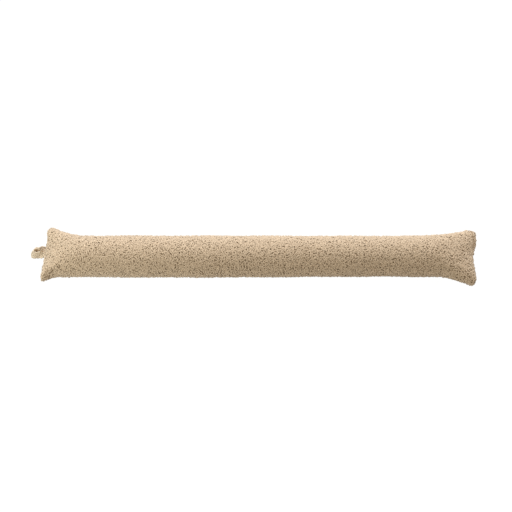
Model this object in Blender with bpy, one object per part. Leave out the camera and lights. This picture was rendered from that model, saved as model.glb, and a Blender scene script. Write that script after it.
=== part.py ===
"""Draught excluder: a long filled bolster with a hanging loop caught in its left end seam.

Metres, +Z up. X runs along the bolster, Y across it towards the back, and the bolster
lies on z = 0. The origin is the middle of the flat strip on which it rests.
"""

import math
from collections import namedtuple

import bmesh
import bpy

LENGTH = 0.900  # between the nominal ends
BODY_HALF_WIDTH = 0.0442
BODY_HALF_HEIGHT = 0.0420
AXIS_HEIGHT = 0.0370  # less than the half height, so the underside is pressed flat
END_DROOP = 0.0015  # how far the end seams hang below the axis
DROOP_LENGTH = 0.100
CROWN_POWER = 0.75  # below 1, the body rises steeply from its end seams
OVAL_POWER = 2.0  # the body's section is an oval
FLAT_POWER = 4.0  # the flat end's section has fuller sides

# The end seams: where the two layers of the flat tube are sewn together.
LIP_HALF_HEIGHT = 0.0058
GROOVE_DEPTH = 0.0030
GROOVE_HALF_HEIGHT = 0.0005
SEAM_FADE = 0.130  # the askew and hollow end lines are felt this far into the body

# The rings of a seam, from the groove's floor outwards: how far each lies in from the
# end, where it lies between the groove (0) and the lip's full height (1), and how much
# narrower than the end it is.
SeamRing = namedtuple("SeamRing", "inset share narrowed")
SEAM_RINGS = (
    SeamRing(inset=GROOVE_DEPTH, share=0.0, narrowed=0.0060),
    SeamRing(inset=0.0008, share=0.12, narrowed=0.0034),
    SeamRing(inset=0.0, share=0.50, narrowed=0.0018),
    SeamRing(inset=0.0004, share=0.85, narrowed=0.0006),
)

# A filled tube isn't even: its width rises and falls slowly along its length.
SWELL_WAVE = 0.80
SWELL_START = 0.36
RIPPLE_WAVE = 0.145
RIPPLE = 0.0005

COLUMNS = 48  # points round a section
STATIONS = 26  # sections from each end to the middle
STATION_POWER = 1.8  # above 1, sections crowd towards the ends
FIRST_STATION = 0.0015

# How far a seam's corner stands beyond the nominal end, how far it reaches from the
# axis, over what length its side flares and how sharply, how far it is rounded, and how
# much the body swells on its side.
Corner = namedtuple("Corner", "out reach flare power rounding swell")
# The corners at one end, how deep its seam is hollowed between them, how far the back
# half of the end bulges where its seam has rolled over, and how far from the seam the
# bolster has its full height.
End = namedtuple("End", "sign front back hollow roll crown_length")
ROLL_MIDDLE = 0.52  # of the way from the axis to the back corner
ROLL_REACH = 0.55

LEFT = End(
    sign=-1,
    front=Corner(out=-0.0008, reach=0.0596, flare=0.042, power=2.0, rounding=0.005, swell=0.0012),
    back=Corner(out=-0.0123, reach=0.0692, flare=0.091, power=2.0, rounding=0.012, swell=0.0004),
    hollow=0.0029,
    roll=0.0,
    crown_length=0.085,
)
RIGHT = End(
    sign=1,
    front=Corner(out=-0.0007, reach=0.0667, flare=0.070, power=1.5, rounding=0.011, swell=0.0012),
    back=Corner(out=0.0035, reach=0.0636, flare=0.150, power=2.5, rounding=0.0145, swell=0.0004),
    hollow=0.0057,
    roll=0.0050,
    crown_length=0.105,
)

# The hanging loop: a strap folded in half. Its ends lie flat on each other in the seam,
# and it turns on edge towards its bend, so the loop opens upwards there.
LOOP_Y = 0.0120  # where it leaves the end seam
LOOP_DROOP = 0.0045  # how far its bend hangs below the seam
STRAP_WIDTH = 0.0235
STRAP_THICKNESS = 0.0044
ROOT_THICKNESS = 0.0014  # where it is sewn down
LOOP_LEG = 0.0245
LOOP_GAP = 0.0070  # between the legs, before the bend
ROOT_GAP = 0.0004
TWIST_START = 0.0030
TWIST_END = 0.0165
FULL_THICKNESS_FROM = 0.0090
EDGE_POWER = 0.6  # below 1, the strap's section is nearer to a rectangle
FACE_POWER = 0.7
ROOT_STAGGER = 0.0020  # the legs' ends lie this far to each side of the middle
POCKET_HALF_HEIGHT = 0.0021  # the groove opens this far round the strap's ends
POCKET_HALF_WIDTH = 0.0200
POCKET_FADE = 0.0060  # over this length it closes again
CLEARANCE = 0.0003
LEG_STEPS = 14
BEND_STEPS = 10
STRAP_POINTS = 12

CLOTH_COLOUR = (0.60, 0.47, 0.34, 1.0)
CLOTH_ROUGHNESS = 0.95


def clear_scene():
    for old in list(bpy.data.objects):
        bpy.data.objects.remove(old, do_unlink=True)


def new_collection(name):
    collection = bpy.data.collections.new(name)
    bpy.context.scene.collection.children.link(collection)
    return collection


def cloth_material(name):
    material = bpy.data.materials.new(name)
    material.use_nodes = True
    shader = material.node_tree.nodes["Principled BSDF"]
    shader.inputs["Base Color"].default_value = CLOTH_COLOUR
    shader.inputs["Roughness"].default_value = CLOTH_ROUGHNESS
    shader.inputs["Metallic"].default_value = 0.0
    return material


def mix(low, high, share):
    return low + (high - low) * share


def ease(value):
    value = min(max(value, 0.0), 1.0)
    return value * value * (3.0 - 2.0 * value)


def fade_out(distance, length, power):
    return max(1.0 - distance / length, 0.0) ** power


def corner_rounding(corner, across):
    """How far the end line falls back near a corner. across is 0 to 1, the corner."""
    straight = 1.0 - corner.rounding / corner.reach
    turned = max(across - straight, 0.0) / (1.0 - straight)
    return corner.rounding * (1.0 - math.sqrt(max(1.0 - turned * turned, 0.0)))


def end_line(end, across):
    """How far the end seam lies beyond the nominal end. across: -1 front, 1 back."""
    out = mix(end.front.out, end.back.out, (across + 1.0) / 2.0)
    corner = end.back if across > 0.0 else end.front
    hollow = end.hollow * (1.0 - across * across)
    from_roll = min(abs(across - ROLL_MIDDLE) / ROLL_REACH, 1.0)
    roll = end.roll * math.cos(math.pi / 2.0 * from_roll) ** 2
    return out - hollow + roll - corner_rounding(corner, abs(across))


def half_width(end, corner, inset):
    x = end.sign * (LENGTH / 2.0 - inset)
    swell = corner.swell * math.sin(2.0 * math.pi * (x + SWELL_START) / SWELL_WAVE)
    ripple = RIPPLE * math.sin(2.0 * math.pi * x / RIPPLE_WAVE)
    flare = (corner.reach - BODY_HALF_WIDTH) * fade_out(inset, corner.flare, corner.power)
    return BODY_HALF_WIDTH + flare + swell + ripple


def half_height(end, inset):
    rise = math.sin(math.pi / 2.0 * min(inset / end.crown_length, 1.0)) ** CROWN_POWER
    return mix(LIP_HALF_HEIGHT, BODY_HALF_HEIGHT, rise)


def axis_height(inset):
    return AXIS_HEIGHT - END_DROOP * fade_out(inset, DROOP_LENGTH, 2.0)


def section_power(end, inset):
    return mix(OVAL_POWER, FLAT_POWER, fade_out(inset, end.crown_length, 2.0))


def place(end, inset, across, y, z):
    """A point of the section that lies inset from the end seam."""
    shift = end_line(end, across) * (1.0 - ease(inset / SEAM_FADE))
    return (end.sign * (LENGTH / 2.0 - inset + shift), y, max(z, 0.0))


def section(end, inset, height=None, narrowed=0.0):
    """One ring of points, from the back edge over the top and under again.

    height(y) gives the half height at y, or the body's own where it is left out.
    """
    ring = []
    for index in range(COLUMNS):
        angle = 2.0 * math.pi * index / COLUMNS
        across = math.cos(angle)
        corner = end.back if across > 0.0 else end.front
        y = across * (half_width(end, corner, inset) - narrowed)
        power = section_power(end, inset)
        fullness = max(1.0 - abs(across) ** power, 0.0) ** (1.0 / power)
        tall = half_height(end, inset) if height is None else height(y)
        side = 0.0 if index in (0, COLUMNS // 2) else math.copysign(1.0, math.sin(angle))
        z = axis_height(inset) + side * fullness * tall
        ring.append(place(end, inset, across, y, z))
    return ring


def pocket(end, y):
    """The groove's half height at y, wider where the left seam holds the strap."""
    if end is RIGHT:
        return GROOVE_HALF_HEIGHT
    away = abs(y - LOOP_Y) - POCKET_HALF_WIDTH
    return mix(POCKET_HALF_HEIGHT, GROOVE_HALF_HEIGHT, ease(away / POCKET_FADE))


def seam_rings(end):
    """The lips and the groove between them."""

    def lip(share):
        return lambda y: mix(pocket(end, y), LIP_HALF_HEIGHT, share)

    return [section(end, ring.inset, lip(ring.share), ring.narrowed) for ring in SEAM_RINGS]


def body_rings(end):
    rings = []
    for index in range(STATIONS + 1):
        reach = LENGTH / 2.0 - FIRST_STATION
        inset = FIRST_STATION + reach * (index / STATIONS) ** STATION_POWER
        rings.append(section(end, inset))
    return rings


def bridge(mesh, rings):
    """Joins each ring of vertices to the next with quads."""
    for ring, following in zip(rings, rings[1:]):
        count = len(ring)
        for index in range(count):
            after = (index + 1) % count
            mesh.faces.new((ring[index], ring[after], following[after], following[index]))


def close_groove(mesh, ring):
    """Fills the groove's floor, from its upper edge to the lower one."""
    half = COLUMNS // 2
    for index in range(half):
        upper, upper_next = ring[index], ring[index + 1]
        lower, lower_next = ring[-index % COLUMNS], ring[-(index + 1) % COLUMNS]
        corners = list(dict.fromkeys((upper, upper_next, lower_next, lower)))
        mesh.faces.new(corners)


def finish_object(mesh, name, collection):
    """Turns the faces outwards and makes the object."""
    bmesh.ops.recalc_face_normals(mesh, faces=mesh.faces)
    data = bpy.data.meshes.new(name)
    mesh.to_mesh(data)
    mesh.free()
    data.shade_smooth()
    data.set_sharp_from_angle(angle=math.radians(50.0))
    data.materials.append(cloth_material(name + "_cloth"))
    made = bpy.data.objects.new(name, data)
    collection.objects.link(made)
    return made


def make_bolster(collection):
    """A loft from the left seam's groove to the right one's."""
    points = seam_rings(LEFT) + body_rings(LEFT)
    points += (seam_rings(RIGHT) + body_rings(RIGHT))[-2::-1]
    mesh = bmesh.new()
    rings = [[mesh.verts.new(point) for point in ring] for ring in points]
    bridge(mesh, rings)
    close_groove(mesh, rings[0])
    close_groove(mesh, rings[-1])
    return finish_object(mesh, "bolster", collection)


def seam_x(y):
    """Where the left end seam's lips lie at y."""
    corner = LEFT.back if y > 0.0 else LEFT.front
    return -(LENGTH / 2.0 + end_line(LEFT, y / corner.reach))


def strap_twist(along):
    """The strap's turn about the loop's own length: 0 flat, a quarter turn on edge."""
    return math.pi / 2.0 * ease((along - TWIST_START) / (TWIST_END - TWIST_START))


def strap_thickness(along):
    return mix(ROOT_THICKNESS, STRAP_THICKNESS, ease(along / FULL_THICKNESS_FROM))


def leg_offset(along):
    """Half the distance between the two legs' middles."""
    gap = mix(ROOT_GAP, LOOP_GAP, ease(along / TWIST_END))
    return (gap + strap_thickness(along)) / 2.0


def strap_section(middle, across, outward, thickness):
    """A ring of points round the strap, with nearly flat faces and round edges."""
    ring = []
    for index in range(STRAP_POINTS):
        angle = 2.0 * math.pi * (index + 0.5) / STRAP_POINTS
        wide, thick = math.cos(angle), math.sin(angle)
        w = math.copysign(abs(wide) ** EDGE_POWER, wide) * STRAP_WIDTH / 2.0
        t = math.copysign(abs(thick) ** FACE_POWER, thick) * thickness / 2.0
        ring.append([m + w * a + t * o for m, a, o in zip(middle, across, outward)])
    return ring


def loop_height(along):
    return axis_height(0.0) - LOOP_DROOP * ease(along / LOOP_LEG)


def leg_section(along, side):
    """A ring on one leg. along starts at its sewn end; side is 1 upper, -1 lower."""
    twist = strap_twist(along)
    across = (0.0, math.cos(twist), math.sin(twist))
    outward = (0.0, -side * math.sin(twist), side * math.cos(twist))
    stagger = -side * ROOT_STAGGER * (1.0 - ease(along / TWIST_END))
    middle = (
        seam_x(LOOP_Y) + GROOVE_DEPTH - CLEARANCE - along,
        LOOP_Y + leg_offset(along) * outward[1] + stagger,
        loop_height(along) + leg_offset(along) * outward[2],
    )
    ring = strap_section(middle, across, outward, strap_thickness(along))
    follow = 1.0 - ease(along / TWIST_END)
    for point in ring:
        point[0] += follow * (seam_x(point[1]) - seam_x(LOOP_Y))
    return ring


def bend_section(share):
    """A ring on the bend, where the strap is on edge. share runs from leg to leg."""
    radius = leg_offset(LOOP_LEG)
    angle = math.pi * share
    start = seam_x(LOOP_Y) + GROOVE_DEPTH - CLEARANCE - LOOP_LEG
    outward = (-math.sin(angle), -math.cos(angle), 0.0)
    middle = (
        start + radius * outward[0],
        LOOP_Y + radius * outward[1],
        loop_height(LOOP_LEG),
    )
    return strap_section(middle, (0.0, 0.0, 1.0), outward, STRAP_THICKNESS)


def make_loop(collection):
    leg = [LOOP_LEG * index / LEG_STEPS for index in range(LEG_STEPS + 1)]
    points = [leg_section(along, 1) for along in leg]
    points += [bend_section(index / BEND_STEPS) for index in range(1, BEND_STEPS)]
    points += [leg_section(along, -1) for along in reversed(leg)]
    mesh = bmesh.new()
    rings = [[mesh.verts.new(point) for point in ring] for ring in points]
    bridge(mesh, rings)
    mesh.faces.new(rings[0])
    mesh.faces.new(rings[-1])
    return finish_object(mesh, "hanging_loop", collection)


def main():
    clear_scene()
    collection = new_collection("draught_excluder")
    make_bolster(collection)
    make_loop(collection)


main()
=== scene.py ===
"""The looks of a draught excluder: a filled bolster and its hanging loop in curly pile cloth.

Metres, +Z up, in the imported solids' own frame: X runs along the bolster, Y across it
towards the back, and it lies on z = 0. The solids reach to about the tips of the pile. Here
the cloth lies below that skin, except at the full ends, and thousands of short curls rise
from it.
"""

import math

import bmesh
import bpy
import numpy as np
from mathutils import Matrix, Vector
from mathutils.bvhtree import BVHTree


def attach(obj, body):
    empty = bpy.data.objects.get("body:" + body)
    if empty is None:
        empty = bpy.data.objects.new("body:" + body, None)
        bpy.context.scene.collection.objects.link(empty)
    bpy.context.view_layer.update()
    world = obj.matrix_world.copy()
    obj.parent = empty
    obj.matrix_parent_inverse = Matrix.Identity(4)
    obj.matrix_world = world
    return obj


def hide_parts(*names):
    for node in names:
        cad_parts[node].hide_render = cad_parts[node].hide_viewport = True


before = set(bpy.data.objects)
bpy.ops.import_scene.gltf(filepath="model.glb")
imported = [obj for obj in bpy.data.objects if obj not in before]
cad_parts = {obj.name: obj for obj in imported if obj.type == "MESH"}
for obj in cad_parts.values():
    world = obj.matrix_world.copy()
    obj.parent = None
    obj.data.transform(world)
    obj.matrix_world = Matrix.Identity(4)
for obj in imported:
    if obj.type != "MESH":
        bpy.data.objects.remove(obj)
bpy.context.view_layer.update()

SEED = 20

# The camera looks along +Y and down. In a picture 512 pixels wide the nominal length of
# 0.900 m takes up 434.8 pixels.
IMAGE_PIXELS = 512
PIXEL = 0.900 / 434.8
CAMERA_ELEVATION = math.radians(60.0)
CAMERA_DISTANCE = 4.0
SENSOR_MM = 36.0
AIM_HEIGHT = 0.037
AIM_RIGHT_PIXELS = -2.0
AIM_UP_PIXELS = 0.4

CLOTH_VOXEL = 0.0045
PILE_DEPTH = 0.0019  # from the solid's surface down to the cloth
END_FILL = 0.0032  # how much further out the cloth lies at the end seams
END_FILL_LENGTH = 0.030
# Two corners where it lies further out still: the place in x and y, the reach, how much.
CORNER_FILLS = (((0.418, -0.052), 0.055, 0.0028), ((-0.434, 0.062), 0.024, 0.0030))

# The filling swells the cloth from a slightly smaller shape up to its own.
SLACK = 0.0045
SLACK_SHARE = 0.12  # of the bolster's thickness, at most
CLOTH_PRESSURE = 4.0
CLOTH_FRAMES = 20
CLOTH_QUALITY = 6
WRINKLE_CAP = 0.0010  # how far the swollen cloth may be from its own shape
SMOOTH_ROUNDS = 2
SMOOTH_FACTORS = (0.5, -0.53)  # evened out, then swelled back
JOIN_DISTANCE = 0.00001
RAY_START = 0.001  # below the surface, so that a ray doesn't meet its own start
TINY = 1e-9

# Where the cloth is drawn in: how wide and how deep a crease is on each side of its line.
SEAM_CREASE = (0.0042, 0.0026)
CORNER_CREASE = (0.0038, 0.0036)
TUCK_CREASE = (0.0026, 0.0015)
SEAM_STEP = 0.0040
LINE_STEP = 0.0010
# The seam that has rolled on to the top at the right, and the tucks at the left, in pixels.
ROLLED_CORNER = ((469.6, 231.2), (472.3, 234.6), (473.9, 239.0), (473.8, 243.0), (472.8, 247.5))
TUCKS = (
    ((60.2, 265.6), (58.6, 268.6)),
    ((53.2, 269.4), (51.6, 272.0)),
    ((50.0, 273.0), (49.2, 275.8)),
    ((46.9, 271.9), (45.0, 275.2)),
)
CREASED_SIZE = 0.45  # of the curls in a crease

# Curls: bent tufts whose two ends are sunk in the cloth.
CURL_SPACING = 0.00286
CURL_LENGTH = (0.0060, 0.0100)
CURL_RADIUS = (0.00130, 0.00195)
CURL_RISE = (0.0009, 0.0028)
CURL_TURN = (0.6, 3.8)  # radians from one end to the other
CURL_SINK = 0.0010
CURL_PATH = np.array([0.0, 0.08, 0.29, 0.50, 0.71, 0.92, 1.0])
CURL_SIDES = 5
SOFTNESS = 0.66  # how far the shading turns from a curl's own surface to the cloth's
RISE_POWER = 0.6  # under 1, a curl rises steeply at its ends and is flatter in the middle
TIP_THICKNESS = 0.25  # of a curl's radius, at its ends
UPRIGHT_LIMIT = 0.9  # past it, a normal is too near the X axis to be crossed with it
TONE_MIDDLE = 0.5
TONE_SPREAD = 0.2
CANDIDATES_PER_CURL = 5
CELL_MARGIN = 0.06
PILE_PIECES = 5

# The cloth's colours: its backing, its own knit colour deepened also as painted shade in the pits
# between the curls, and the darkest and the lightest curls.
BACKING_WITH_PIT_SHADE = (0.53, 0.385, 0.24, 1.0)
PILE_DARK = (0.665, 0.505, 0.334, 1.0)
PILE_LIGHT = (0.765, 0.59, 0.400, 1.0)
ROOT_SHADE_SHARE = 0.76  # of the pile's colour, at a curl's root: painted shade where it dives into the cloth between the others
# The loop's cloth is the bolster's, painted lighter as painted light where the strap stands in
# shade, and with less painted shade at its curls' roots.
LOOP_LIT_BACKING = (0.74, 0.585, 0.41, 1.0)
LOOP_LIT_PILE_DARK = (0.80, 0.645, 0.46, 1.0)
LOOP_LIT_PILE_LIGHT = (0.88, 0.715, 0.52, 1.0)
LOOP_ROOT_SHADE_SHARE = 0.92
BACKING_HOLLOW_SHADE = 0.7  # of the backing's colour, painted shade in the hollows of its knit

# How the cloth shines: first its roughness, then its sheen.
PILE_FINISH = (0.92, 0.45)
BACKING_FINISH = (0.95, 0.1)
SPECULAR = 0.15
SHEEN_ROUGHNESS = 0.45
SHEEN_TINT = (1.0, 0.96, 0.90, 1.0)

# The fine grain: a noise's scale, detail and roughness, and how deep its bumps are.
FIBRE_NOISE = (1700.0, 3.0, 0.65)
FIBRE_BUMP = 0.0006
KNIT_NOISE = (480.0, 3.0, 0.6)
KNIT_BUMP = 0.0030

# The colour mix node's sockets: its factor and two colours, and its result.
MIX_INPUTS = (0, 6, 7)
MIX_OUTPUT = 2

LOOP_INSET = 0.0003  # from the solid's surface down to the strap
LOOP_ROOT_INSET = 0.0002
LOOP_ROOT_LENGTH = 0.009
LOOP_MIDDLE = (0.0120, 0.0325)  # across and up
LOOP_LEAN = 0.38  # its outer end leans to the right as it goes up in the picture
LOOP_LEAN_FROM = -0.448
LOOP_LEAN_LENGTH = 0.016
# How far the legs' faces move to the front, by their distance from the loop's middle.
LOOP_FACES = (-0.0065, -0.0033, 0.0033, 0.0065)
LOOP_MOVES = (0.0, 0.0003, 0.0021, 0.0)
LOOP_CURLS = 0.64  # their size beside the bolster's

FLOOR_SIZE = 12.0
FLOOR_GREY = (0.78, 0.78, 0.77, 1.0)
FLOOR_WHITENESS = 0.93  # how much of the floor is seen as plain studio white
STUDIO_WHITE = (1.06, 1.06, 1.06, 1.0)
STUDIO_LIGHT = (0.470, 0.436, 0.390, 1.0)
# Each light's name, place, target, size, power in watts and colour.
LIGHTS = (
    ("key", (0.04, 2.00, 1.70), (0.0, 0.0, 0.0), 3.4, 105.0, (0.862, 0.902, 1.0)),
    ("left", (-1.10, -0.55, 0.50), (-0.35, 0.0, 0.0), 0.5, 4.7, (0.92, 1.0, 1.0)),
)


def view_axes():
    """What the camera aims at, and the ways back to the camera and up in the picture."""
    back = Vector((0.0, -math.cos(CAMERA_ELEVATION), math.sin(CAMERA_ELEVATION)))
    up = Vector((0.0, math.sin(CAMERA_ELEVATION), math.cos(CAMERA_ELEVATION)))
    target = Vector((AIM_RIGHT_PIXELS * PIXEL, 0.0, AIM_HEIGHT)) + up * AIM_UP_PIXELS * PIXEL
    return target, back, up


def link(made):
    bpy.context.scene.collection.objects.link(made)
    return made


def evaluated_mesh(source):
    """The object's mesh with its modifiers applied."""
    graph = bpy.context.evaluated_depsgraph_get()
    return bpy.data.meshes.new_from_object(source.evaluated_get(graph))


def apply_modifiers(made):
    old = made.data
    made.data = evaluated_mesh(made)
    made.modifiers.clear()
    bpy.data.meshes.remove(old)


def points_of(mesh):
    points = np.empty(len(mesh.vertices) * 3)
    mesh.vertices.foreach_get("co", points)
    return points.reshape(-1, 3)


def set_points(mesh, points):
    mesh.vertices.foreach_set("co", np.ascontiguousarray(points, dtype=np.float32).ravel())
    mesh.update()


def copy_of_node(node, name):
    """A new object with the node's own mesh, its split corners joined again."""
    mesh = bmesh.new()
    mesh.from_mesh(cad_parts[node].data)
    bmesh.ops.remove_doubles(mesh, verts=mesh.verts, dist=JOIN_DISTANCE)
    bmesh.ops.recalc_face_normals(mesh, faces=mesh.faces)
    data = bpy.data.meshes.new(name)
    mesh.to_mesh(data)
    mesh.free()
    return link(bpy.data.objects.new(name, data))


def remesh(made, voxel):
    modifier = made.modifiers.new("voxels", "REMESH")
    modifier.mode = "VOXEL"
    modifier.voxel_size = voxel
    apply_modifiers(made)


def normals_of(mesh):
    normals = np.empty(len(mesh.vertices) * 3)
    mesh.vertices.foreach_get("normal", normals)
    return normals.reshape(-1, 3)


def smoothed(points, mesh, rounds):
    """Evens the points out, and swells them back each time so that nothing shrinks."""
    ends = np.empty(len(mesh.edges) * 2, dtype=np.int32)
    mesh.edges.foreach_get("vertices", ends)
    one, other = ends.reshape(-1, 2).T
    count = np.bincount(ends, minlength=len(points))[:, None]
    for factor in SMOOTH_FACTORS * rounds:
        total = np.zeros_like(points)
        np.add.at(total, one, points[other])
        np.add.at(total, other, points[one])
        points = points + factor * (total / count - points)
    return points


def tree_of(made):
    mesh = made.data
    corners = [tuple(v.co) for v in mesh.vertices]
    return BVHTree.FromPolygons(corners, [tuple(p.vertices) for p in mesh.polygons])


def thickness_at(tree, points, normals):
    """How thick the bolster is below each point."""
    found = []
    for point, normal in zip(points, normals):
        inwards = -Vector(normal)
        distance = tree.ray_cast(Vector(point) + RAY_START * inwards, inwards)[3]
        found.append(distance or 0.0)
    return np.array(found)


def simulate_filling(made):
    """Blows the cloth up from inside with Blender's cloth solver."""
    modifier = made.modifiers.new("filling", "CLOTH")
    settings = modifier.settings
    settings.quality = CLOTH_QUALITY
    settings.use_pressure = True
    settings.uniform_pressure_force = CLOTH_PRESSURE
    settings.effector_weights.gravity = 0.0
    modifier.point_cache.frame_start = 1
    modifier.point_cache.frame_end = CLOTH_FRAMES
    for number in range(1, CLOTH_FRAMES + 1):
        bpy.context.scene.frame_set(number)
    apply_modifiers(made)
    bpy.context.scene.frame_set(1)


def capped(points, homes, most):
    """The points, moved back to at most that far from their homes."""
    move = points - homes
    length = np.linalg.norm(move, axis=1, keepdims=True)
    return homes + move * np.minimum(1.0, most / np.maximum(length, TINY))


def subdivide(made):
    modifier = made.modifiers.new("finer", "SUBSURF")
    modifier.levels = 1
    modifier.render_levels = 1
    apply_modifiers(made)


def along(line, step):
    """Points a step apart on the line through the given points."""
    line = np.array(line)
    lengths = np.linalg.norm(np.diff(line, axis=0), axis=1)
    reached = np.concatenate([[0.0], np.cumsum(lengths)])
    stops = np.linspace(0.0, reached[-1], max(2, int(reached[-1] / step)))
    return np.stack([np.interp(stops, reached, line[:, k]) for k in range(3)], axis=1)


def seam_line(points, end):
    """The outermost line of an end, end being -1 for the left and 1 for the right."""
    outer = points[end * points[:, 0] > (end * points[:, 0]).max() - END_FILL_LENGTH]
    line = []
    for low in np.arange(outer[:, 1].min(), outer[:, 1].max(), SEAM_STEP):
        strip = outer[(outer[:, 1] >= low) & (outer[:, 1] < low + SEAM_STEP)]
        if len(strip):
            line.append(strip[np.argmax(end * strip[:, 0])])
    return along(line, LINE_STEP)


def seen_at(tree, column, row):
    """The point of the cloth that the picture shows at a pixel."""
    target, back, up = view_axes()
    right = up.cross(back)
    middle = IMAGE_PIXELS / 2.0
    spot = target + (right * (column - middle) + up * (middle - row)) * PIXEL
    camera = target + back * CAMERA_DISTANCE
    return tree.ray_cast(camera, (spot - camera).normalized())[0]


def creases(cover):
    """Each crease as its line, its width, its depth and the way that it is drawn in."""
    points = points_of(cover.data)
    made = [(seam_line(points, end), *SEAM_CREASE, (-end, 0.0, 0.0)) for end in (-1.0, 1.0)]
    tree = tree_of(cover)
    for size, pixels in ((CORNER_CREASE, ROLLED_CORNER), *((TUCK_CREASE, t) for t in TUCKS)):
        line = [seen_at(tree, *pixel) for pixel in pixels]
        line = [spot for spot in line if spot is not None]
        if len(line) > 1:
            made.append((along(line, LINE_STEP), *size, None))
    return made


def closeness(points, line, width):
    """1 on the line, falling to 0 at the width."""
    nearest = np.full(len(points), width)
    for spot in line:
        nearest = np.minimum(nearest, np.linalg.norm(points - spot, axis=1))
    share = 1.0 - nearest / width
    return share * share * (3.0 - 2.0 * share)


def draw_in(cover, found):
    points = points_of(cover.data)
    inwards = -normals_of(cover.data)
    for line, width, depth, way in found:
        share = closeness(points, line, width)[:, None]
        points = points + share * depth * (inwards if way is None else np.array(way))
    set_points(cover.data, points)


def make_cover():
    """The bolster's cloth with its creases drawn in, and the list of them."""
    cover = copy_of_node("bolster", "bolster_cover")
    remesh(cover, CLOTH_VOXEL)
    points = smoothed(points_of(cover.data), cover.data, SMOOTH_ROUNDS)
    set_points(cover.data, points)
    normals = normals_of(cover.data)
    from_end = np.minimum(points[:, 0].max() - points[:, 0], points[:, 0] - points[:, 0].min())
    fill = END_FILL * np.clip(1.0 - from_end / END_FILL_LENGTH, 0.0, 1.0)
    for place, reach, more in CORNER_FILLS:
        away = np.linalg.norm(points[:, :2] - place, axis=1)
        fill += more * np.clip(1.0 - away / reach, 0.0, 1.0)
    homes = points - normals * (PILE_DEPTH - fill)[:, None]
    homes[:, 2] = np.maximum(homes[:, 2], PILE_DEPTH)
    thickness = thickness_at(tree_of(cover), points, normals)
    slack = np.minimum(SLACK, SLACK_SHARE * thickness)
    set_points(cover.data, homes - normals * slack[:, None])
    simulate_filling(cover)
    homes = capped(points_of(cover.data), homes, WRINKLE_CAP)
    set_points(cover.data, smoothed(homes, cover.data, 1))
    subdivide(cover)
    found = creases(cover)
    draw_in(cover, found)
    cover.data.shade_smooth()
    return cover, found


def triangles_of(mesh):
    mesh.calc_loop_triangles()
    corners = np.empty(len(mesh.loop_triangles) * 3, dtype=np.int32)
    mesh.loop_triangles.foreach_get("vertices", corners)
    return corners.reshape(-1, 3)


def scatter(made, spacing, rng):
    """Points spread evenly over a mesh, no two nearer than the spacing, and their normals."""
    mesh = made.data
    points = points_of(mesh)
    normals = normals_of(mesh)
    triangles = triangles_of(mesh)
    a, b, c = (points[triangles[:, k]] for k in range(3))
    areas = np.linalg.norm(np.cross(b - a, c - a), axis=1) / 2.0
    wanted = int(CANDIDATES_PER_CURL * areas.sum() / spacing**2)
    chosen = rng.choice(len(triangles), size=wanted, p=areas / areas.sum())
    u, v = rng.random(wanted), rng.random(wanted)
    flip = u + v > 1.0
    u[flip], v[flip] = 1.0 - u[flip], 1.0 - v[flip]
    shares = np.stack([1.0 - u - v, u, v], axis=1)[:, :, None]
    places = (points[triangles[chosen]] * shares).sum(axis=1)
    facing = (normals[triangles[chosen]] * shares).sum(axis=1)
    facing /= np.linalg.norm(facing, axis=1, keepdims=True)
    kept = apart(places, spacing)
    return places[kept], facing[kept]


def apart(places, spacing):
    """The indices of places that keep the spacing from all kept before them."""
    cells = {}
    kept = []
    keys = np.floor(places / spacing).astype(int)
    around = [(i, j, k) for i in (-1, 0, 1) for j in (-1, 0, 1) for k in (-1, 0, 1)]
    for index, (key, place) in enumerate(zip(keys.tolist(), places.tolist())):
        near = False
        for i, j, k in around:
            for other in cells.get((key[0] + i, key[1] + j, key[2] + k), ()):
                if math.dist(place, other) < spacing:
                    near = True
                    break
            if near:
                break
        if not near:
            cells.setdefault(tuple(key), []).append(place)
            kept.append(index)
    return np.array(kept)


def between(rng, low_high, count):
    return rng.uniform(low_high[0], low_high[1], count)


def curl_paths(places, normals, tree, rng, sizes):
    """Each curl's middle line, and along it the surface's normal, its radius and its arch."""
    count, steps = len(places), len(CURL_PATH)
    helper = np.where(np.abs(normals[:, :1]) < UPRIGHT_LIMIT, [[1.0, 0.0, 0.0]], [[0.0, 1.0, 0.0]])
    first = np.cross(normals, helper)
    first /= np.linalg.norm(first, axis=1, keepdims=True)
    second = np.cross(normals, first)
    heading = rng.uniform(0.0, 2.0 * math.pi, count)
    turn = between(rng, CURL_TURN, count) * rng.choice([-1.0, 1.0], count)
    length = between(rng, CURL_LENGTH, count) * sizes
    rise = between(rng, CURL_RISE, count) * sizes
    radius = between(rng, CURL_RADIUS, count) * sizes
    share = CURL_PATH[None, :] - 0.5
    # An arc of that turn, with its middle on the place.
    angle = heading[:, None] + turn[:, None] * share
    ahead = length[:, None] / turn[:, None] * (np.sin(angle) - np.sin(heading)[:, None])
    across = length[:, None] / turn[:, None] * (np.cos(heading)[:, None] - np.cos(angle))
    flat = places[:, None] + ahead[:, :, None] * first[:, None]
    flat = flat + across[:, :, None] * second[:, None]
    arch = np.sin(math.pi * CURL_PATH)[None, :]
    height = rise[:, None] * arch**RISE_POWER - CURL_SINK
    lines = np.empty((count, steps, 3))
    upright = np.empty((count, steps, 3))
    for i in range(count):
        for k in range(steps):
            place, normal, _, _ = tree.find_nearest(flat[i, k])
            lines[i, k] = place
            upright[i, k] = normal
    lines += upright * height[:, :, None]
    radii = radius[:, None] * (TIP_THICKNESS + (1.0 - TIP_THICKNESS) * np.sqrt(arch))
    return lines, upright, radii, np.broadcast_to(arch, (count, steps))


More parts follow.
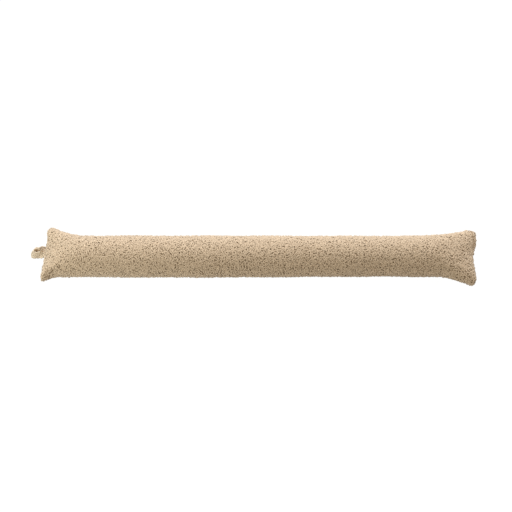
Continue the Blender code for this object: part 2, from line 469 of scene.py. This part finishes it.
def tube_points(lines, upright, radii):
    """The corners of all curls: each end's tip, and the rings between them."""
    ahead = np.gradient(lines, axis=1)
    ahead /= np.linalg.norm(ahead, axis=2, keepdims=True)
    side = np.cross(ahead, upright)
    side /= np.maximum(np.linalg.norm(side, axis=2, keepdims=True), TINY)
    top = np.cross(side, ahead)
    rings = []
    for corner in range(CURL_SIDES):
        turn = 2.0 * math.pi * corner / CURL_SIDES
        rings.append(top * math.cos(turn) + side * math.sin(turn))
    offsets = np.stack(rings, axis=2) * radii[:, :, None, None]
    rings = (lines[:, :, None] + offsets)[:, 1:-1]
    count = len(lines)
    rings = rings.reshape(count, -1, 3)
    return np.concatenate([lines[:, :1], rings, lines[:, -1:]], axis=1)


def curl_faces():
    """One curl's faces as lists of corners, and each corner's place in its map cell."""
    rings = len(CURL_PATH) - 2
    last = 1 + rings * CURL_SIDES
    faces, places = [], []

    def corner(ring, side):
        return 1 + ring * CURL_SIDES + side % CURL_SIDES

    for side in range(CURL_SIDES):
        low, high = side / CURL_SIDES, (side + 1) / CURL_SIDES
        middle = (low + high) / 2.0
        near, far = CURL_PATH[1], CURL_PATH[-2]
        faces.append((0, corner(0, side + 1), corner(0, side)))
        places.append(((0.0, middle), (near, high), (near, low)))
        for ring in range(rings - 1):
            here, there = CURL_PATH[ring + 1], CURL_PATH[ring + 2]
            left = (corner(ring, side), corner(ring, side + 1))
            right = (corner(ring + 1, side + 1), corner(ring + 1, side))
            faces.append(left + right)
            places.append(((here, low), (here, high), (there, high), (there, low)))
        faces.append((corner(rings - 1, side), corner(rings - 1, side + 1), last))
        places.append(((far, low), (far, high), (1.0, middle)))
    return faces, places


def curl_mesh(name, corners, tone, root_shade_lift, skin):
    """A mesh of many curls, with a map that gives each curl a cell of its own."""
    count, per_curl = corners.shape[:2]
    faces, places = curl_faces()
    sizes = np.array([len(f) for f in faces])
    pattern = np.array([c for f in faces for c in f])
    cell_places = np.array([p for f in places for p in f])
    loops = (np.arange(count)[:, None] * per_curl + pattern[None, :]).ravel()
    starts = np.concatenate([[0], np.cumsum(np.tile(sizes, count))[:-1]])
    mesh = bpy.data.meshes.new(name)
    mesh.vertices.add(count * per_curl)
    mesh.vertices.foreach_set("co", corners.astype(np.float32).ravel())
    mesh.loops.add(len(loops))
    mesh.loops.foreach_set("vertex_index", loops.astype(np.int32))
    mesh.polygons.add(len(starts))
    mesh.polygons.foreach_set("loop_start", starts.astype(np.int32))
    mesh.update(calc_edges=True)
    mesh.shade_smooth()
    across = math.ceil(math.sqrt(count))
    cell = np.stack([np.arange(count) % across, np.arange(count) // across], axis=1)
    inner = CELL_MARGIN + (1.0 - 2.0 * CELL_MARGIN) * cell_places
    uv = (cell[:, None, :] + inner[None, :, :]) / across
    layer = mesh.uv_layers.new(name="OFBake")
    layer.uv.foreach_set("vector", uv.astype(np.float32).ravel())
    # How high each corner stands on its curl: the mask of the painted shade at the roots.
    for label, values in (("tone", np.repeat(tone, per_curl)), ("root_shade_lift", root_shade_lift.ravel())):
        attribute = mesh.attributes.new(label, "FLOAT", "POINT")
        attribute.data.foreach_set("value", values.astype(np.float32))
    soften(mesh, skin.reshape(-1, 3))
    return mesh


def soften(mesh, skin):
    """Turns the shading normals part of the way to the cloth's, as soft fibres do with light."""
    turned = (1.0 - SOFTNESS) * normals_of(mesh) + SOFTNESS * skin
    turned /= np.linalg.norm(turned, axis=1, keepdims=True)
    mesh.normals_split_custom_set_from_vertices(turned)


def per_corner(values):
    """Values given for each step of the curls' paths, repeated for each corner there."""
    rings = np.repeat(values[:, 1:-1], CURL_SIDES, axis=1)
    return np.concatenate([values[:, :1], rings, values[:, -1:]], axis=1)


def grow_pile(name, made, rng, pieces, size=1.0, found=()):
    """Covers an object with curls, split along X into pieces of about as many curls."""
    tree = tree_of(made)
    places, normals = scatter(made, CURL_SPACING * size, rng)
    order = np.argsort(places[:, 0], kind="stable")
    places, normals = places[order], normals[order]
    sizes = np.full(len(places), size)
    for line, width, depth, _ in found:
        share = closeness(places, line, width + depth)
        sizes = np.minimum(sizes, size * (1.0 - (1.0 - CREASED_SIZE) * share))
    lines, upright, radii, arch = curl_paths(places, normals, tree, rng, sizes)
    corners = tube_points(lines, upright, radii)
    corners[:, :, 2] = np.maximum(corners[:, :, 2], 0.0)
    tone = rng.normal(TONE_MIDDLE, TONE_SPREAD, len(places)).clip(0.0, 1.0)
    root_shade_lift, skin = per_corner(arch), per_corner(upright)
    grown = []
    for number, part in enumerate(np.array_split(np.arange(len(places)), pieces)):
        label = name if pieces == 1 else f"{name}_{number + 1}"
        mesh = curl_mesh(label, corners[part], tone[part], root_shade_lift[part], skin[part])
        grown.append(link(bpy.data.objects.new(label, mesh)))
    return grown


def node(tree, kind, **values):
    made = tree.nodes.new(kind)
    for name, value in values.items():
        setattr(made, name, value)
    return made


def mixed(tree, factor, low, high):
    """A mix of two colours, each of them a colour or a socket that gives one."""
    made = node(tree, "ShaderNodeMix", data_type="RGBA")
    for number, value in zip(MIX_INPUTS, (factor, low, high)):
        if isinstance(value, bpy.types.NodeSocket):
            tree.links.new(value, made.inputs[number])
        else:
            made.inputs[number].default_value = value
    return made.outputs[MIX_OUTPUT]


def noise(tree, scale, detail, roughness):
    place = node(tree, "ShaderNodeTexCoord")
    made = node(tree, "ShaderNodeTexNoise")
    made.inputs["Scale"].default_value = scale
    made.inputs["Detail"].default_value = detail
    made.inputs["Roughness"].default_value = roughness
    tree.links.new(place.outputs["Object"], made.inputs["Vector"])
    return made.outputs["Fac"]


def value_of(tree, name):
    return node(tree, "ShaderNodeAttribute", attribute_name=name).outputs["Fac"]


def cloth_shader(material, roughness, sheen):
    tree = material.node_tree
    shader = tree.nodes["Principled BSDF"]
    shader.inputs["Roughness"].default_value = roughness
    shader.inputs["Specular IOR Level"].default_value = SPECULAR
    shader.inputs["Sheen Weight"].default_value = sheen
    shader.inputs["Sheen Roughness"].default_value = SHEEN_ROUGHNESS
    shader.inputs["Sheen Tint"].default_value = SHEEN_TINT
    return tree, shader


def bumped(tree, shader, height, distance):
    bump = node(tree, "ShaderNodeBump")
    bump.inputs["Distance"].default_value = distance
    tree.links.new(height, bump.inputs["Height"])
    tree.links.new(bump.outputs["Normal"], shader.inputs["Normal"])


def pile_material(name, light, dark, root_shade_share):
    material = bpy.data.materials.new(name)
    material.use_nodes = True
    tree, shader = cloth_shader(material, *PILE_FINISH)
    colour = mixed(tree, value_of(tree, "tone"), dark, light)
    # Painted shade: each curl darkens towards its roots, where it dives between the others.
    root = tuple(root_shade_share * c for c in dark[:3]) + (1.0,)
    colour = mixed(tree, value_of(tree, "root_shade_lift"), root, colour)
    tree.links.new(colour, shader.inputs["Base Color"])
    bumped(tree, shader, noise(tree, *FIBRE_NOISE), FIBRE_BUMP)
    return material


def backing_material(name, colour):
    material = bpy.data.materials.new(name)
    material.use_nodes = True
    tree, shader = cloth_shader(material, *BACKING_FINISH)
    # Painted shade: where the knit's bump is low, the colour is deepened towards its shade.
    hollow_shade = tuple(BACKING_HOLLOW_SHADE * c for c in colour[:3]) + (1.0,)
    knit = noise(tree, *KNIT_NOISE)
    tree.links.new(mixed(tree, knit, hollow_shade, colour), shader.inputs["Base Color"])
    bumped(tree, shader, knit, KNIT_BUMP)
    return material


def build_bolster(rng):
    cover, found = make_cover()
    cover.data.materials.clear()
    # The backing's colour is partly painted shade, for the pits between the curls.
    cover.data.materials.append(backing_material("cover_backing_with_pit_shade", BACKING_WITH_PIT_SHADE))
    pile = grow_pile("bolster_pile", cover, rng, PILE_PIECES, found=found)
    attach(cover, "root")
    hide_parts("bolster")
    material = pile_material("curly_pile", PILE_LIGHT, PILE_DARK, ROOT_SHADE_SHARE)
    for piece in pile:
        piece.data.materials.append(material)
        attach(piece, "root")


def press_loop(points):
    """Leans the loop's outer end, and moves its legs' inner faces to the front."""
    x, y, z = points.T
    share = np.clip((LOOP_LEAN_FROM - x) / LOOP_LEAN_LENGTH, 0.0, 1.0)
    across, up = y - LOOP_MIDDLE[0], z - LOOP_MIDDLE[1]
    seen_up = across * math.sin(CAMERA_ELEVATION) + up * math.cos(CAMERA_ELEVATION)
    pressed = np.interp(across, LOOP_FACES, LOOP_MOVES)
    return np.stack([x + LOOP_LEAN * share * seen_up, y - share * pressed, z], axis=1)


def build_loop(rng):
    strap = copy_of_node("hanging_loop", "loop_strap")
    mesh = strap.data
    points = points_of(mesh)
    out = (points[:, 0].max() - points[:, 0]) / LOOP_ROOT_LENGTH
    inset = LOOP_ROOT_INSET + (LOOP_INSET - LOOP_ROOT_INSET) * np.clip(out, 0.0, 1.0)
    set_points(mesh, press_loop(points - normals_of(mesh) * inset[:, None]))
    subdivide(strap)
    strap.data.shade_smooth()
    strap.data.materials.clear()
    # The loop's backing and pile are painted lighter, as painted light on the shaded strap.
    strap.data.materials.append(backing_material("loop_backing_painted_light", LOOP_LIT_BACKING))
    pile = grow_pile("loop_pile", strap, rng, 1, size=LOOP_CURLS)
    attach(strap, "root")
    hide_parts("hanging_loop")
    material = pile_material("loop_curly_pile_painted_light", LOOP_LIT_PILE_LIGHT, LOOP_LIT_PILE_DARK, LOOP_ROOT_SHADE_SHARE)
    for piece in pile:
        piece.data.materials.append(material)
        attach(piece, "root")


def seen_directly(tree):
    """1 for what the picture shows of the studio itself, 0 for the light it gives."""
    return node(tree, "ShaderNodeLightPath").outputs["Is Camera Ray"]


def make_floor():
    bpy.ops.mesh.primitive_plane_add(size=FLOOR_SIZE)
    floor = bpy.context.object
    floor.name = "floor"
    material = bpy.data.materials.new("floor_white")
    material.use_nodes = True
    tree = material.node_tree
    tree.nodes.clear()
    lit = node(tree, "ShaderNodeBsdfDiffuse")
    lit.inputs["Color"].default_value = FLOOR_GREY
    white = node(tree, "ShaderNodeEmission")
    white.inputs["Color"].default_value = STUDIO_WHITE
    share = node(tree, "ShaderNodeMath", operation="MULTIPLY")
    share.inputs[1].default_value = FLOOR_WHITENESS
    both = node(tree, "ShaderNodeMixShader")
    output = node(tree, "ShaderNodeOutputMaterial")
    tree.links.new(seen_directly(tree), share.inputs[0])
    tree.links.new(share.outputs[0], both.inputs[0])
    tree.links.new(lit.outputs[0], both.inputs[1])
    tree.links.new(white.outputs[0], both.inputs[2])
    tree.links.new(both.outputs[0], output.inputs["Surface"])
    floor.data.materials.append(material)


def make_camera():
    target, back, _ = view_axes()
    data = bpy.data.cameras.new("camera")
    data.sensor_width = SENSOR_MM
    data.lens = SENSOR_MM * CAMERA_DISTANCE / (IMAGE_PIXELS * PIXEL)
    camera = link(bpy.data.objects.new("camera", data))
    camera.location = target + back * CAMERA_DISTANCE
    camera.rotation_euler = (-back).to_track_quat("-Z", "Y").to_euler()
    bpy.context.scene.camera = camera


def area_light(name, place, target, size, watts, colour):
    data = bpy.data.lights.new(name, "AREA")
    data.shape = "DISK"
    data.size = size
    data.energy = watts
    data.color = colour
    light = link(bpy.data.objects.new(name, data))
    light.location = place
    light.rotation_euler = (Vector(target) - Vector(place)).to_track_quat("-Z", "Y").to_euler()


def make_world():
    world = bpy.data.worlds.new("studio")
    world.use_nodes = True
    tree = world.node_tree
    colour = mixed(tree, seen_directly(tree), STUDIO_LIGHT, STUDIO_WHITE)
    tree.links.new(colour, tree.nodes["Background"].inputs["Color"])
    bpy.context.scene.world = world


def make_light():
    make_world()
    for values in LIGHTS:
        area_light(*values)
    bpy.context.scene.view_settings.view_transform = "Standard"


def main():
    rng = np.random.default_rng(SEED)
    make_camera()
    build_bolster(rng)
    build_loop(rng)
    make_floor()
    make_light()


main()
